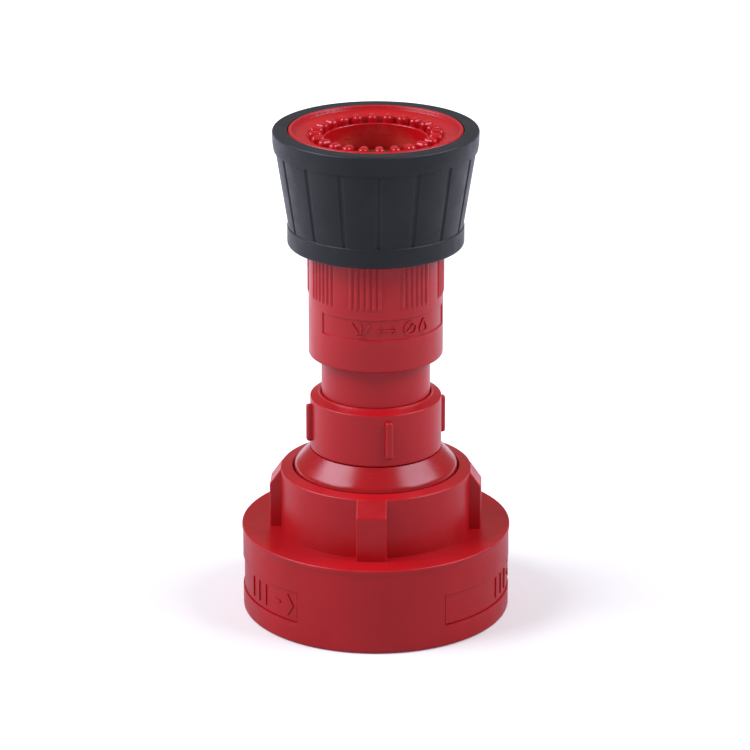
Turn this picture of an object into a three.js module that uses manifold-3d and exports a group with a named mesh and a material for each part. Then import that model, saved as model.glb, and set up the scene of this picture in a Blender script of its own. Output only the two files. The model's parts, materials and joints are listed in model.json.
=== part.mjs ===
// Twist-type fire hose nozzle: a swivel hose coupling, a cone adapter, a union nut, a fixed body with a
// baffle on a stem, and a barrel that screws along the body from shut to a wide fog.
// Millimetres, +Z up. The coupling stands on Z = 0 and the mouth points up. An azimuth is in degrees,
// measured from -Y towards +X, so it grows anticlockwise as seen from above.
import * as THREE from "three";
import { mergeVertices } from "three/addons/utils/BufferGeometryUtils.js";
import Module from "manifold-3d";

const wasm = await Module();
wasm.setup();

const TURN = 2 * Math.PI;
const DEGREE = Math.PI / 180;

// Facets round a full circle: broad pieces, narrow tubes, small fasteners.
const BROAD = 32;
const NARROW = 24;
const SMALL = 16;
// Facets in one turn of a thread.
const THREAD_STEPS = 16;

// Clearances: between pieces that move past each other, and between pieces that rest on each other.
const RUNNING = 0.35;
const RESTING = 0.2;
// Small chamfers: on moulded edges, and on turned ones.
const EDGE = 0.7;
const FINE_EDGE = 0.4;

// Swivel coupling.
const COUPLING = {
  skirtRadius: 49.3,
  skirtHeight: 32.6,
  lipRadius: 49.6,
  lipBottom: 31.5,
  dish: 0.7,
  ringRadius: 35.2,
  ringFoot: 37.6,
  ringFillet: 34.4,
  ringTop: 54.9,
  sleeveBore: 30.45,
  shoulder: 28,
  recessRadius: 40.8,
  recessBottom: 22.75,
  leadIn: 1.3,
};
// Female hose thread, 65 mm (2 1/2 in) class: male thread about 78 mm across.
const HOSE_THREAD = { root: 39.4, crest: 37.4, pitch: 3.4, bottom: 3.2, top: 16.2, base: 2.2, tip: 0.8 };
const LUGS = {
  count: 4,
  azimuth: -2.4,
  width: 11.1,
  root: 33,
  radius: 39,
  foot: 31.4,
  shoulder: 48.3,
  top: 54.2,
  topRadius: 34.9,
};
// Flat washer against the end of the hose.
const GASKET = { inner: 33.2, outer: 39.1, bottom: 18.95, top: 22.6 };

// Split wire that joins the coupling and the adapter's sleeve.
const WIRE = { radius: 1.15, sides: 6, ringRadius: 30.25, height: 40, gap: 14 };
const WIRE_GROOVE = { halfHeight: 1.6, inner: 28.9, outer: 31.6 };

// Cone adapter: tail flange, sleeve, cone and neck.
const ADAPTER = {
  bore: 26.6,
  boreTop: 49.5,
  boreShoulder: 53,
  boreShoulderRadius: 25.4,
  neckBore: 66,
  flangeRadius: 40.2,
  flangeBottom: 22.9,
  sleeveRadius: 30.1,
  coneFoot: 55.1,
  coneStart: 56.7,
  coneStartRadius: 29.3,
  coneTopRadius: 24.2,
  coneTop: 62.5,
  neckTop: 72,
};
// The neck's outside and the nut's inside, at the crests of the 42 mm (1 1/4 in) thread that joins them.
const NECK = { male: 21.7, female: 22 };

const UNION_NUT = { radius: 24.1, bottom: 62.8, edge: 82.4, top: 83.9, hole: 20.3, lip: 79.4, corner: 0.9 };
const NUT_RIBS = {
  count: 4,
  azimuth: 11.3,
  width: 2.8,
  radius: 26,
  root: 22.8,
  bottom: 66.2,
  top: 80.1,
  corner: 1,
};
const UNION_GASKET = { inner: 15.8, outer: 20.4 };

// Nozzle body: bore 31 mm, tube just under 40 mm across.
const BODY = { bore: 15.5, radius: 19.9, bottom: 75.3, top: 147.9 };
const RETAINER = { inner: 18.9, outer: 21.2, groove: 18.6, bottom: 76.8, top: 79.1, gap: 12 };
const SEAL = { section: 0.9, ringRadius: 19.15, groove: 18, width: 2.5, rear: 140.1, front: 144.2 };

// Coarse thread of the barrel: two starts, 12 mm of travel in one turn.
const DRIVE = {
  lead: 12,
  starts: 2,
  male: 19.9,
  maleTip: 21.5,
  female: 21.9,
  femaleTip: 20.6,
  base: 3.4,
  tip: 1.8,
};
const DRIVE_MALE = { bottom: 105.4, top: 124 };
const DRIVE_FEMALE = { bottom: 116.8, top: 123.6 };

// Stem hub inside the body, and what it carries.
const HUB = { radius: 6.5, bore: 4.2, bottom: 117, top: 131 };
const WEBS = { count: 3, width: 3, bottom: 118, top: 130 };
const STEM = {
  radius: 4,
  bottom: 108.5,
  collarRadius: 6,
  collarTop: 134,
  shoulder: 164.4,
  threadRadius: 3,
  top: 172.6,
};
const STEM_WASHER = { radius: 7.6, thickness: 1 };
const STEM_NUT = { acrossFlats: 12.5, height: 4.6 };
const BAFFLE = {
  radius: 15.8,
  top: 171,
  skirt: 166.5,
  skirtTaper: 2,
  web: 168.4,
  seatRadius: 14.4,
  recess: 6.2,
  recessFloor: 169.6,
};
const BAFFLE_NUT = { acrossFlats: 9.5, height: 2.8 };
const SEAT = { radius: 14.2, bottom: 166, washerRadius: 9.5, washerBottom: 164.6 };

// Barrel.
const BARREL = {
  radius: 24.55,
  gripRadius: 24.75,
  gripBottom: 122.3,
  bottom: 98.75,
  bore: 20.3,
  threadBottom: 104.7,
  threadTop: 136.6,
  sealBottom: 138,
  throatBottom: 160.4,
  throat: 11.5,
  lipInner: 12.2,
  lipOuter: 13.3,
  lipTop: 165.7,
  ledgeInner: 13.5,
  ledge: 164.3,
  mouthBore: 18.4,
  top: 183.5,
};
// Flared skirt inside the bumper, and the rim above it.
const FLARE = {
  inner: 26,
  outer: 28.1,
  bottom: 160,
  gripTop: 173.5,
  gripShoulder: 28.4,
  topRadius: 31,
  top: 176.2,
};
const RIM = {
  radius: 31.5,
  bottom: 177,
  corner: 0.9,
  inner: 30,
  innerTop: 183.3,
  dish: 29.6,
  dishTop: 182.1,
};
const WIPER = { section: 0.92, ringRadius: 21.15, height: 101.9, groove: 22.3, width: 2.5 };

// Peg ring in the mouth.
const PEG_RING = { outer: 24.6, wall: 23.9, sill: 19.4, base: 175.5, floor: 177.5, sillTop: 180, top: 180.9 };
const PEGS = { count: 24, azimuth: 3.4, width: 3.4, inner: 19.2, outer: 24.3, top: 182.7, root: 0.5 };

// Rubber guard: a lower band, a leaning wall and a wider top band. It clears the barrel by `clear`.
const BUMPER = {
  bottom: 140.5,
  inner: 25.1,
  bandRadius: 32.1,
  bandTop: 147.8,
  bandCorner: 1.2,
  wallFoot: 31.7,
  wallBottom: 148.2,
  wallRadius: 36.2,
  wallTop: 176,
  topBandFoot: 36.8,
  topBandBottom: 176.4,
  topRadius: 37.2,
  top: 183.3,
  corner: 0.8,
  clear: 0.3,
};

// ---------------------------------------------------------------------------------------------------
// Shapes

// Turns a closed three.js geometry into a solid that can be joined and cut.
function solid(geometry) {
  const plain = new THREE.BufferGeometry();
  const loose = geometry.index ? geometry.toNonIndexed() : geometry;
  plain.setAttribute("position", loose.getAttribute("position"));
  const merged = mergeVertices(plain, 1e-4);
  const index = merged.index.array;
  const kept = [];
  for (let i = 0; i < index.length; i += 3) {
    const [a, b, c] = [index[i], index[i + 1], index[i + 2]];
    if (a !== b && b !== c && a !== c) kept.push(a, b, c);
  }
  const mesh = new wasm.Mesh({
    numProp: 3,
    vertProperties: merged.attributes.position.array,
    triVerts: new Uint32Array(kept),
  });
  return new wasm.Manifold(mesh);
}

// The same solid as a three.js geometry.
function geometryOf(body) {
  const { vertProperties, triVerts, numProp } = body.getMesh();
  const position = new THREE.BufferAttribute(new Float32Array(vertProperties), numProp);
  const geometry = new THREE.BufferGeometry().setAttribute("position", position);
  geometry.setIndex(new THREE.BufferAttribute(new Uint32Array(triVerts), 1));
  geometry.computeVertexNormals();
  return geometry;
}

// Spins an outline of [radius, height] points round Z. The outer side of the outline is listed upwards.
function revolve(outline, facets) {
  const points = outline.map(([r, z]) => new THREE.Vector2(r, z));
  if (outline[0][0] > 0) points.push(points[0].clone());
  return solid(new THREE.LatheGeometry(points, facets).rotateX(Math.PI / 2));
}

// A plain ring, tube or washer.
function tube(inner, outer, bottom, top, facets) {
  return revolve([[inner, bottom], [outer, bottom], [outer, top], [inner, top]], facets);
}

function polygon(points) {
  return new THREE.Shape(points.map(([x, y]) => new THREE.Vector2(x, y)));
}

// Sweeps an outline of [radius, height] points round Z through some turns, rising by `lead` each turn.
// Near its ends the outline shrinks to the radius `fadeTo` over a quarter turn, as a cut thread does.
function sweep(outline, { turns, start = 0, lead = 0, facets, fadeTo = null }) {
  const steps = Math.max(2, Math.round(turns * facets));
  const bar = new THREE.ExtrudeGeometry(polygon(outline), { depth: 1, steps, bevelEnabled: false });
  const at = bar.getAttribute("position");
  for (let i = 0; i < at.count; i++) {
    const along = (1 - at.getZ(i)) * turns;
    const fade = fadeTo === null ? 1 : Math.min(1, 4 * along, 4 * (turns - along));
    const radius = fadeTo === null ? at.getX(i) : fadeTo + (at.getX(i) - fadeTo) * fade;
    const angle = start + along * TURN;
    at.setXYZ(i, radius * Math.sin(angle), -radius * Math.cos(angle), at.getY(i) + lead * along);
  }
  return solid(bar);
}

// One start of a screw thread: a ridge on a wall of radius `root`, with its crest at radius `crest`. It is
// rooted half a millimetre inside the wall.
function threadRidge({ root, crest, bottom, top, lead, base, tip, start = 0 }) {
  const inWall = root + Math.sign(root - crest) * 0.5;
  const outline = [[inWall, bottom - base / 2], [root, bottom - base / 2], [crest, bottom - tip / 2]];
  outline.push([crest, bottom + tip / 2], [root, bottom + base / 2], [inWall, bottom + base / 2]);
  return sweep(outline, { turns: (top - bottom) / lead, start, lead, facets: THREAD_STEPS, fadeTo: inWall });
}

// A flat plate standing on a radius: an outline of [radius, height] points, `width` thick.
function radialPlate(outline, width, azimuth) {
  const plate = new THREE.ExtrudeGeometry(polygon(outline), { depth: width, bevelEnabled: false });
  plate.translate(0, 0, -width / 2);
  plate.rotateX(Math.PI / 2);
  plate.rotateZ((azimuth - 90) * DEGREE);
  return solid(plate);
}

// A straight bar from one radius to another: its end face is an outline of [sideways, height] points.
function radialBar(outline, inner, outer, azimuth) {
  const bar = new THREE.ExtrudeGeometry(polygon(outline), { depth: outer - inner, bevelEnabled: false });
  bar.translate(0, 0, inner);
  bar.rotateX(Math.PI / 2);
  bar.rotateZ(azimuth * DEGREE);
  return solid(bar);
}

function torus(ringRadius, section, height) {
  const ring = new THREE.TorusGeometry(ringRadius, section, 6, NARROW);
  return solid(ring.translate(0, 0, height));
}

function hexagon(acrossFlats, bore, bottom, top) {
  const height = top - bottom;
  const radius = acrossFlats / Math.sqrt(3);
  const outside = new THREE.CylinderGeometry(radius, radius, height, 6).rotateX(Math.PI / 2);
  const hole = new THREE.CylinderGeometry(bore, bore, 2 * height, SMALL).rotateX(Math.PI / 2);
  const middle = bottom + height / 2;
  return solid(outside.translate(0, 0, middle)).subtract(solid(hole.translate(0, 0, middle)));
}

// Azimuths of evenly spaced copies.
function spaced(count, first = 0) {
  return Array.from({ length: count }, (_, i) => first + (i * 360) / count);
}

// ---------------------------------------------------------------------------------------------------
// Materials

const redPlastic = () => new THREE.MeshStandardMaterial({ color: 0xa3202a, roughness: 0.45, metalness: 0 });
const blackRubber = () => new THREE.MeshStandardMaterial({ color: 0x2b2c30, roughness: 0.7, metalness: 0 });
const sealRubber = () => new THREE.MeshStandardMaterial({ color: 0x1c1c1e, roughness: 0.6, metalness: 0 });
const brass = () => new THREE.MeshStandardMaterial({ color: 0xb08d4a, roughness: 0.35, metalness: 1 });
const steel = () => new THREE.MeshStandardMaterial({ color: 0xb9bbbd, roughness: 0.3, metalness: 1 });

function piece(name, body, material) {
  const mesh = new THREE.Mesh(geometryOf(body), material);
  mesh.name = name;
  return mesh;
}

// ---------------------------------------------------------------------------------------------------
// Coupling group

// The lowest and highest height of the grooves that hold the swivel wire.
function wireGroove() {
  return [WIRE.height - WIRE_GROOVE.halfHeight, WIRE.height + WIRE_GROOVE.halfHeight];
}

function couplingRing() {
  const c = COUPLING;
  const [grooveLow, grooveHigh] = wireGroove();
  let ring = revolve(
    [
      [c.skirtRadius, 0],
      [c.skirtRadius, c.lipBottom - FINE_EDGE],
      [c.lipRadius, c.lipBottom],
      [c.lipRadius, c.skirtHeight - FINE_EDGE],
      [c.lipRadius - FINE_EDGE, c.skirtHeight],
      [c.ringFoot, c.skirtHeight - c.dish],
      [c.ringRadius, c.ringFillet],
      [c.ringRadius, c.ringTop - 2 * EDGE],
      [c.ringRadius - EDGE, c.ringTop - EDGE],
      [c.sleeveBore + EDGE, c.ringTop],
      [c.sleeveBore, c.ringTop - EDGE],
      [c.sleeveBore, grooveHigh],
      [WIRE_GROOVE.outer, grooveHigh],
      [WIRE_GROOVE.outer, grooveLow],
      [c.sleeveBore, grooveLow],
      [c.sleeveBore, c.shoulder],
      [c.recessRadius, c.shoulder],
      [c.recessRadius, c.recessBottom],
      [HOSE_THREAD.root, c.recessBottom],
      [HOSE_THREAD.root, c.leadIn],
      [HOSE_THREAD.root + c.leadIn, 0],
    ],
    BROAD,
  );
  ring = ring.add(threadRidge({ ...HOSE_THREAD, lead: HOSE_THREAD.pitch }));
  const lug = [
    [LUGS.root, LUGS.foot],
    [LUGS.radius, LUGS.foot],
    [LUGS.radius, LUGS.shoulder],
    [LUGS.topRadius, LUGS.top],
    [LUGS.root, LUGS.top],
  ];
  for (const azimuth of spaced(LUGS.count, LUGS.azimuth)) {
    ring = ring.add(radialPlate(lug, LUGS.width, azimuth));
  }
  return piece("coupling_ring", ring, redPlastic());
}

function hoseGasket() {
  const g = GASKET;
  return piece("hose_gasket", tube(g.inner, g.outer, g.bottom, g.top, NARROW), sealRubber());
}

// ---------------------------------------------------------------------------------------------------
// Nozzle group

function swivelWire() {
  const round = Array.from({ length: WIRE.sides }, (_, i) => [
    WIRE.ringRadius + WIRE.radius * Math.cos((i * TURN) / WIRE.sides),
    WIRE.height + WIRE.radius * Math.sin((i * TURN) / WIRE.sides),
  ]);
  const turns = 1 - WIRE.gap / 360;
  return piece("swivel_wire", sweep(round, { turns, facets: BROAD }), steel());
}

function coneAdapter() {
  const a = ADAPTER;
  const [grooveLow, grooveHigh] = wireGroove();
  const adapter = revolve(
    [
      [a.bore + EDGE, a.flangeBottom],
      [a.flangeRadius, a.flangeBottom],
      [a.flangeRadius, COUPLING.shoulder - RUNNING],
      [a.sleeveRadius, COUPLING.shoulder - RUNNING],
      [a.sleeveRadius, grooveLow],
      [WIRE_GROOVE.inner, grooveLow],
      [WIRE_GROOVE.inner, grooveHigh],
      [a.sleeveRadius, grooveHigh],
      [a.sleeveRadius, a.coneFoot],
      [a.coneStartRadius, a.coneStart],
      [a.coneTopRadius, a.coneTop],
      [NECK.male, a.coneTop],
      [NECK.male, a.neckTop - EDGE],
      [NECK.male - EDGE, a.neckTop],
      [BODY.bore, a.neckTop],
      [BODY.bore, a.neckBore],
      [a.boreShoulderRadius, a.boreShoulder],
      [a.bore, a.boreTop],
    ],
    BROAD,
  );
  return piece("cone_adapter", adapter, redPlastic());
}

function unionGasket() {
  const [bottom, top] = [ADAPTER.neckTop + RESTING, BODY.bottom - RESTING];
  const { inner, outer } = UNION_GASKET;
  return piece("union_gasket", tube(inner, outer, bottom, top, NARROW), sealRubber());
}

function unionNut() {
  const n = UNION_NUT;
  let nut = revolve(
    [
      [n.radius - FINE_EDGE, n.bottom],
      [n.radius, n.bottom + FINE_EDGE],
      [n.radius, n.edge - n.corner],
      [n.radius - n.corner, n.edge],
      [n.hole + EDGE, n.top],
      [n.hole, n.top - EDGE],
      [n.hole, n.lip],
      [NECK.female, n.lip],
      [NECK.female, n.bottom],
    ],
    BROAD,
  );
  const r = NUT_RIBS;
  const rib = [
    [r.root, r.bottom],
    [r.radius - r.corner, r.bottom],
    [r.radius, r.bottom + r.corner],
    [r.radius, r.top - r.corner],
    [r.radius - r.corner, r.top],
    [r.root, r.top],
  ];
  for (const azimuth of spaced(r.count, r.azimuth)) {
    nut = nut.add(radialPlate(rib, r.width, azimuth));
  }
  return piece("union_nut", nut, redPlastic());
}

function nutRetainingRing() {
  const r = RETAINER;
  const section = [[r.inner, r.bottom], [r.outer, r.bottom], [r.outer, r.top], [r.inner, r.top]];
  return piece("nut_retaining_ring", sweep(section, { turns: 1 - r.gap / 360, facets: NARROW }), steel());
}

function sealGroove(centre) {
  const [low, high] = [centre - SEAL.width / 2, centre + SEAL.width / 2];
  return [[BODY.radius, low], [SEAL.groove, low], [SEAL.groove, high], [BODY.radius, high]];
}

function nozzleBody() {
  const b = BODY;
  const [grooveBottom, grooveTop] = [RETAINER.bottom - RESTING, RETAINER.top + RESTING];
  let body = revolve(
    [
      [b.bore, b.bottom],
      [b.radius, b.bottom],
      [b.radius, grooveBottom],
      [RETAINER.groove, grooveBottom],
      [RETAINER.groove, grooveTop],
      [b.radius, grooveTop],
      ...sealGroove(SEAL.rear),
      ...sealGroove(SEAL.front),
      [b.radius, b.top - EDGE],
      [b.radius - EDGE, b.top],
      [b.bore, b.top],
    ],
    BROAD,
  );
  for (let i = 0; i < DRIVE.starts; i++) {
    const ridge = { ...DRIVE, ...DRIVE_MALE, root: DRIVE.male, crest: DRIVE.maleTip };
    body = body.add(threadRidge({ ...ridge, start: (i * TURN) / DRIVE.starts }));
  }
  const half = WEBS.width / 2;
  const web = [[-half, WEBS.bottom], [half, WEBS.bottom], [half, WEBS.top], [-half, WEBS.top]];
  const webInner = (HUB.bore + HUB.radius) / 2;
  for (const azimuth of spaced(WEBS.count)) {
    body = body.add(radialBar(web, webInner, b.bore + 1, azimuth));
  }
  body = body.add(tube(HUB.bore, HUB.radius, HUB.bottom, HUB.top, SMALL));
  return piece("nozzle_body", body, redPlastic());
}

function bodySeal(name, height) {
  return piece(name, torus(SEAL.ringRadius, SEAL.section, height), sealRubber());
}

function stem() {
  const s = STEM;
  const collarBottom = HUB.top + RESTING;
  const rod = revolve(
    [
      [0, s.bottom],
      [s.radius - EDGE, s.bottom],
      [s.radius, s.bottom + EDGE],
      [s.radius, collarBottom],
      [s.collarRadius, collarBottom],
      [s.collarRadius, s.collarTop],
      [s.radius, s.collarTop + 1],
      [s.radius, s.shoulder],
      [s.threadRadius, s.shoulder],
      [s.threadRadius, s.top],
      [0, s.top],
    ],
    SMALL,
  );
  return piece("stem", rod, brass());
}

function stemWasher() {
  const top = HUB.bottom - RESTING;
  const bottom = top - STEM_WASHER.thickness;
  return piece("stem_washer", tube(STEM.radius + RESTING, STEM_WASHER.radius, bottom, top, SMALL), steel());
}

function stemNut() {
  const top = HUB.bottom - STEM_WASHER.thickness - 2 * RESTING;
  const nut = hexagon(STEM_NUT.acrossFlats, STEM.radius + RESTING, top - STEM_NUT.height, top);
  return piece("stem_nut", nut, brass());
}

function seatWasher() {
  const bottom = SEAT.washerBottom;
  const bore = STEM.threadRadius + RESTING;
  return piece("seat_washer", tube(bore, SEAT.washerRadius, bottom, SEAT.bottom - RESTING, SMALL), steel());
}

function baffleSeat() {
  const bore = STEM.threadRadius + RESTING;
  const top = BAFFLE.web - RESTING;
  return piece("baffle_seat", tube(bore, SEAT.radius, SEAT.bottom, top, NARROW), sealRubber());
}

function baffle() {
  const b = BAFFLE;
  const bore = STEM.threadRadius + RESTING;
  const disc = revolve(
    [
      [b.seatRadius, b.skirt],
      [b.radius - EDGE, b.skirt],
      [b.radius, b.skirt + b.skirtTaper],
      [b.radius, b.top - FINE_EDGE],
      [b.radius - FINE_EDGE, b.top],
      [b.recess, b.top],
      [b.recess, b.recessFloor],
      [bore, b.recessFloor],
      [bore, b.web],
      [b.seatRadius, b.web],
    ],
    NARROW,
  );
  return piece("baffle", disc, brass());
}

function baffleNut() {
  const bottom = BAFFLE.recessFloor + RESTING;
  const bore = STEM.threadRadius + RESTING;
  const nut = hexagon(BAFFLE_NUT.acrossFlats, bore, bottom, bottom + BAFFLE_NUT.height);
  return piece("baffle_nut", nut, steel());
}

// ---------------------------------------------------------------------------------------------------
// Barrel group

function barrelWiperRing() {
  return piece("barrel_wiper_ring", torus(WIPER.ringRadius, WIPER.section, WIPER.height), sealRubber());
}

function barrel() {
  const b = BARREL;
  const seatTop = PEG_RING.base - RESTING;
  const seatRadius = PEG_RING.outer + RESTING;
  const [wiperLow, wiperHigh] = [WIPER.height - WIPER.width / 2, WIPER.height + WIPER.width / 2];
  let shell = revolve(
    [
      [b.radius - EDGE, b.bottom],
      [b.radius, b.bottom + EDGE],
      [b.radius, b.gripBottom],
      [b.gripRadius, b.gripBottom + FINE_EDGE],
      [b.gripRadius, FLARE.gripTop],
      [FLARE.gripShoulder, FLARE.gripTop],
      [FLARE.inner, FLARE.bottom],
      [FLARE.outer, FLARE.bottom],
      [FLARE.topRadius, FLARE.top],
      [RIM.radius, RIM.bottom],
      [RIM.radius, b.top - RIM.corner],
      [RIM.radius - RIM.corner, b.top],
      [RIM.inner, RIM.innerTop],
      [RIM.dish, RIM.dishTop],
      [seatRadius, PEG_RING.top],
      [seatRadius, seatTop],
      [b.mouthBore, seatTop],
      [b.mouthBore, b.ledge],
      [b.ledgeInner, b.ledge],
      [b.lipOuter, b.lipTop],
      [b.lipInner, b.lipTop],
      [b.throat, b.ledge],
      [b.throat, b.throatBottom + EDGE],
      [b.throat + EDGE, b.throatBottom],
      [b.bore, b.throatBottom],
      [b.bore, b.sealBottom],
      [DRIVE.female, b.threadTop],
      [DRIVE.female, b.threadBottom],
      [b.bore, wiperHigh + RUNNING],
      [b.bore, wiperHigh],
      [WIPER.groove, wiperHigh],
      [WIPER.groove, wiperLow],
      [b.bore, wiperLow],
      [b.bore, b.bottom],
    ],
    BROAD,
  );
  for (let i = 0; i < DRIVE.starts; i++) {
    const ridge = { ...DRIVE, ...DRIVE_FEMALE, root: DRIVE.female, crest: DRIVE.femaleTip };
    // Half-way between the body's two ridges, at the height where these ones start.
    const climb = (DRIVE_FEMALE.bottom - DRIVE_MALE.bottom) / DRIVE.lead;
    const start = ((i + 0.5) / DRIVE.starts + climb) * TURN;
    shell = shell.add(threadRidge({ ...ridge, start }));
  }
  return piece("barrel", shell, redPlastic());
}

function fogTeethRing() {
  const p = PEG_RING;
  let ring = revolve(
    [
      [BARREL.mouthBore, p.base],
      [p.outer, p.base],
      [p.outer, p.top],
      [p.wall, p.top],
      [p.wall, p.floor],
      [p.sill, p.floor],
      [p.sill, p.sillTop],
      [BARREL.mouthBore, p.sillTop],
    ],
    NARROW,
  );
  // The end of a peg: a half circle on top of a rectangle that is rooted in the ring.
  const half = PEGS.width / 2;
  const low = p.floor - PEGS.root;
  const round = [0, 45, 90, 135, 180].map((angle) => [
    half * Math.cos(angle * DEGREE),
    PEGS.top - half + half * Math.sin(angle * DEGREE),
  ]);
  const end = [...round, [-half, low], [half, low]];
  for (const azimuth of spaced(PEGS.count, PEGS.azimuth)) {
    ring = ring.add(radialBar(end, PEGS.inner, PEGS.outer, azimuth));
  }
  return piece("fog_teeth_ring", ring, redPlastic());
}

function bumper() {
  const b = BUMPER;
  const guard = revolve(
    [
      [b.inner, b.bottom],
      [b.bandRadius - b.bandCorner, b.bottom],
      [b.bandRadius, b.bottom + b.bandCorner],
      [b.bandRadius, b.bandTop],
      [b.wallFoot, b.wallBottom],
      [b.wallRadius, b.wallTop],
      [b.topBandFoot, b.topBandBottom],
      [b.topRadius, b.top - b.corner],
      [b.topRadius - b.corner, b.top],
      [RIM.radius + b.clear, b.top],
      [RIM.radius + b.clear, RIM.bottom - b.clear],
      [FLARE.topRadius + b.clear, FLARE.top - b.clear],
      [FLARE.outer + b.clear, FLARE.bottom - b.clear],
      [b.inner, FLARE.bottom - b.clear],
    ],
    BROAD,
  );
  return piece("bumper", guard, blackRubber());
}

// ---------------------------------------------------------------------------------------------------
// Assembly

const coupling = new THREE.Group();
coupling.add(couplingRing(), hoseGasket());

const nozzle = new THREE.Group();
nozzle.add(swivelWire(), coneAdapter(), unionGasket(), unionNut(), nutRetainingRing(), nozzleBody());
nozzle.add(bodySeal("body_o_ring_rear", SEAL.rear), bodySeal("body_o_ring_front", SEAL.front));
nozzle.add(stem(), stemWasher(), stemNut(), seatWasher(), baffleSeat(), baffle(), baffleNut());

const turning = new THREE.Group();
turning.add(barrelWiperRing(), barrel(), fogTeethRing(), bumper());

const hoseNozzle = new THREE.Group();
hoseNozzle.add(coupling, nozzle, turning);

export default hoseNozzle;
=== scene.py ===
import json
import math

import bmesh
import bpy
import numpy as np
from mathutils import Matrix, Vector


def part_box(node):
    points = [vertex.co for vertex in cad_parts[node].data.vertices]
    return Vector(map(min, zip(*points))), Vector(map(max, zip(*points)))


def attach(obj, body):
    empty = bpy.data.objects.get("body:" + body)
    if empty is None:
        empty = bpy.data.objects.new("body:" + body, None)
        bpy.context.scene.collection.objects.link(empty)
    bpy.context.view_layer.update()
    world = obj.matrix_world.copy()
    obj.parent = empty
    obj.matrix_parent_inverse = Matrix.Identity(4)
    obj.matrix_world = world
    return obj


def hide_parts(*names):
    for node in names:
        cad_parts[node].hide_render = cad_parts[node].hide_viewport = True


# The looks of a twist-type fire hose nozzle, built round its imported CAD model. Lengths are in millimetres
# until a piece is finished, and heights are above the floor. An azimuth is in degrees, from -Y towards +X.

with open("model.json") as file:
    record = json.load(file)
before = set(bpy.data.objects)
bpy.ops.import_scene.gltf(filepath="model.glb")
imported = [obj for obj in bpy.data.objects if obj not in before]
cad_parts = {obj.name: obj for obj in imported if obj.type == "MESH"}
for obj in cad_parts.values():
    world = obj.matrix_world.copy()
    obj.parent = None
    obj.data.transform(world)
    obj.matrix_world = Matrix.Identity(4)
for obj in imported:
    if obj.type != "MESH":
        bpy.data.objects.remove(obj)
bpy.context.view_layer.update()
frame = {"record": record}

MM = 0.001
BODY_OF = {node: body for body, nodes in frame["record"]["behaviour"]["bodies"].items() for node in nodes}

# Mesh fineness: even columns round a piece (a middling count where a grip adds its own), steps in one turn of
# a coil (a count that keeps them off the columns), rows along an outline, steps in a rounded corner, and the
# distance from a corner at which a row holds the flat next to it.
FINE = 240
MIDDLING = 180
COARSE = 120
COIL_STEPS = 113
ROW = 4.0
CORNER_STEPS = 5
HOLD = 0.25

# The angle from which an edge is shaded sharp, and the distance within which points are merged.
SHARP = math.radians(34)
MERGE = 1e-3


def reach(node):
    """A CAD node's outer radius, and its lowest and highest height."""
    low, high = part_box(node)
    return max(high.x, high.y) / MM, low.z / MM, high.z / MM


# ---------------------------------------------------------------------------------------------------------
# Outlines


def rounded(corners, steps=CORNER_STEPS):
    """A closed outline of (radius, height) points. A corner that also has a fillet radius becomes an arc."""
    points = []
    for i, corner in enumerate(corners):
        here = np.array(corner[:2], float)
        if len(corner) == 2:
            points.append(here)
            continue
        before = np.array(corners[i - 1][:2]) - here
        after = np.array(corners[(i + 1) % len(corners)][:2]) - here
        before = before / np.linalg.norm(before)
        after = after / np.linalg.norm(after)
        half = math.acos(max(-1.0, min(1.0, before @ after))) / 2
        centre = here + (before + after) / np.linalg.norm(before + after) * corner[2] / math.sin(half)
        start = here + before * corner[2] / math.tan(half) - centre
        end = here + after * corner[2] / math.tan(half) - centre
        turn = math.pi - 2 * half
        for t in np.linspace(0, 1, steps + 1):
            spoke = math.sin((1 - t) * turn) * start + math.sin(t * turn) * end
            points.append(centre + spoke / math.sin(turn))
    return np.array(points)


def circle(radius, height, section, steps=20):
    """The round outline of an O-ring or a wire."""
    turn = np.linspace(0, 2 * math.pi, steps, endpoint=False)
    return np.stack([radius + section * np.cos(turn), height + section * np.sin(turn)], axis=1)


def dense(points, spacing=ROW, levels=(), outside=0.0):
    """The outline with more rows: one close to each end of a straight stretch, one every `spacing`, and on
    stretches beyond the radius `outside`, one at each height in `levels`."""
    rows = []
    for start, end in zip(points, np.roll(points, -1, axis=0)):
        length = np.linalg.norm(end - start)
        rows.append(start)
        if length < 4 * HOLD:
            continue
        along = list(np.linspace(HOLD, length - HOLD, max(2, math.ceil(length / spacing))) / length)
        climb = end[1] - start[1]
        if min(start[0], end[0]) > outside and abs(climb) > 1:
            marks = [(level - start[1]) / climb for level in levels]
            marks = [m for m in marks if HOLD / length < m < 1 - HOLD / length]
            along = [t for t in along if all(abs(t - m) * length > 0.15 for m in marks)] + marks
        rows.extend(start + (end - start) * t for t in sorted(along))
    return np.array(rows)


def columns(count, edges=()):
    """Azimuths of a piece's columns: even ones, and one at each edge of a feature."""
    even = np.arange(count) * 360 / count
    if not len(edges):
        return even
    marks = np.unique(np.round(np.mod(edges, 360), 3))
    gap = np.abs((even[:, None] - marks[None, :] + 180) % 360 - 180).min(axis=1)
    return np.sort(np.concatenate([even[gap > 90 / count], marks]))


def within(value, low, high, soft):
    """1 between low and high and 0 outside them, changing over the width `soft`."""
    rise = np.clip((value - low) / soft, 0, 1)
    fall = np.clip((high - value) / soft, 0, 1)
    return rise * fall


# ---------------------------------------------------------------------------------------------------------
# Meshes


def new_object(name, vertices, faces):
    mesh = bpy.data.meshes.new(name)
    mesh.from_pydata(np.asarray(vertices, float).tolist(), [], [list(map(int, face)) for face in faces])
    made = bpy.data.objects.new(name, mesh)
    bpy.context.scene.collection.objects.link(made)
    return made


def from_bmesh(name, bm):
    mesh = bpy.data.meshes.new(name)
    bm.to_mesh(mesh)
    bm.free()
    made = bpy.data.objects.new(name, mesh)
    bpy.context.scene.collection.objects.link(made)
    return made


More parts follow.
